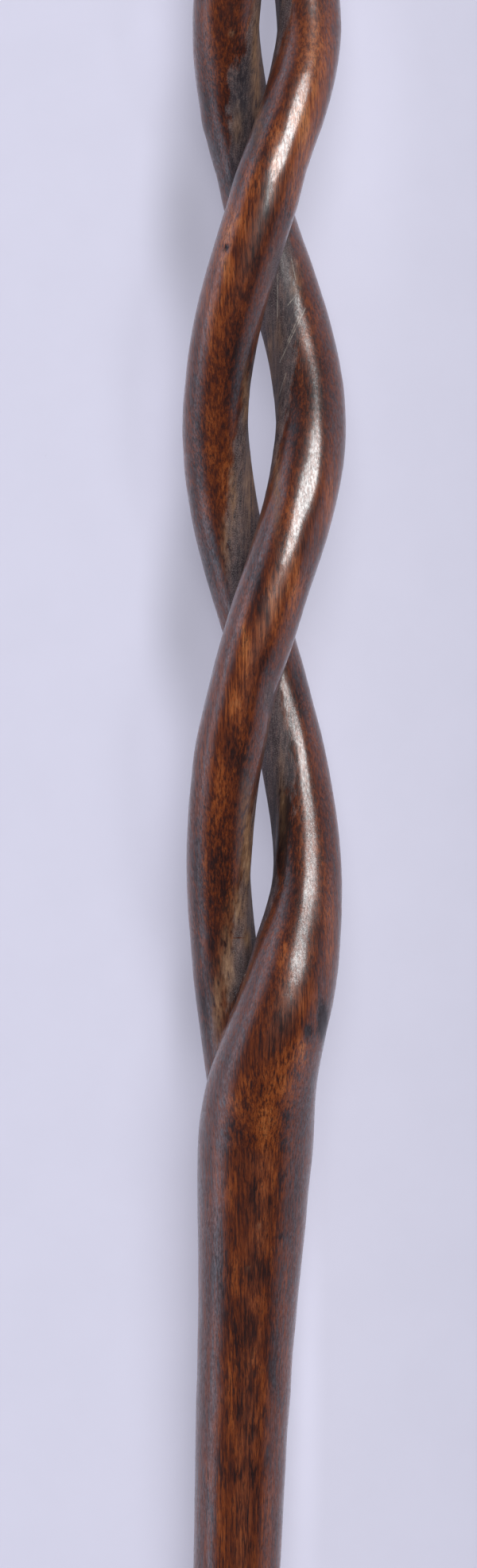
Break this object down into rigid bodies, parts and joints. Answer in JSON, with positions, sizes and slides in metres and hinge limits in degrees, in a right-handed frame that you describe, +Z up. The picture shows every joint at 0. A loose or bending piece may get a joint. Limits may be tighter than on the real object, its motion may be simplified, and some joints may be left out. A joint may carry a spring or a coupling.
{
  "type": "ceremonial staff",
  "caption": "Long carved hardwood staff with an openwork double twist between two forks, a plain tapered shaft, a round head knob and a metal foot ferrule.",
  "frame": {"origin": "centre of the foot's flat end face", "axes": "+Y along the staff from the foot to the head, +Z up from the surface that the staff lies on, +X to the right of someone who looks down on it with the head away from them"},
  "size_m": [0.0519, 0.997, 0.045],
  "materials": {
    "hardwood": "dark reddish-brown carved hardwood, hand-polished, satin with near-black flecks",
    "peg_wood": "plain split hardwood dowel, unpolished",
    "ferrule_metal": "aged brass, dulled and lightly scratched",
    "pin_metal": "aged brass wire"
  },
  "bodies": {
    "root": {"lower_shaft": "hardwood", "strand_a": "hardwood", "strand_b": "hardwood", "upper_shaft": "hardwood", "head_knob": "hardwood", "head_peg": "peg_wood", "foot_ferrule": "ferrule_metal", "ferrule_pins": "pin_metal"}
  },
  "joints": []
}
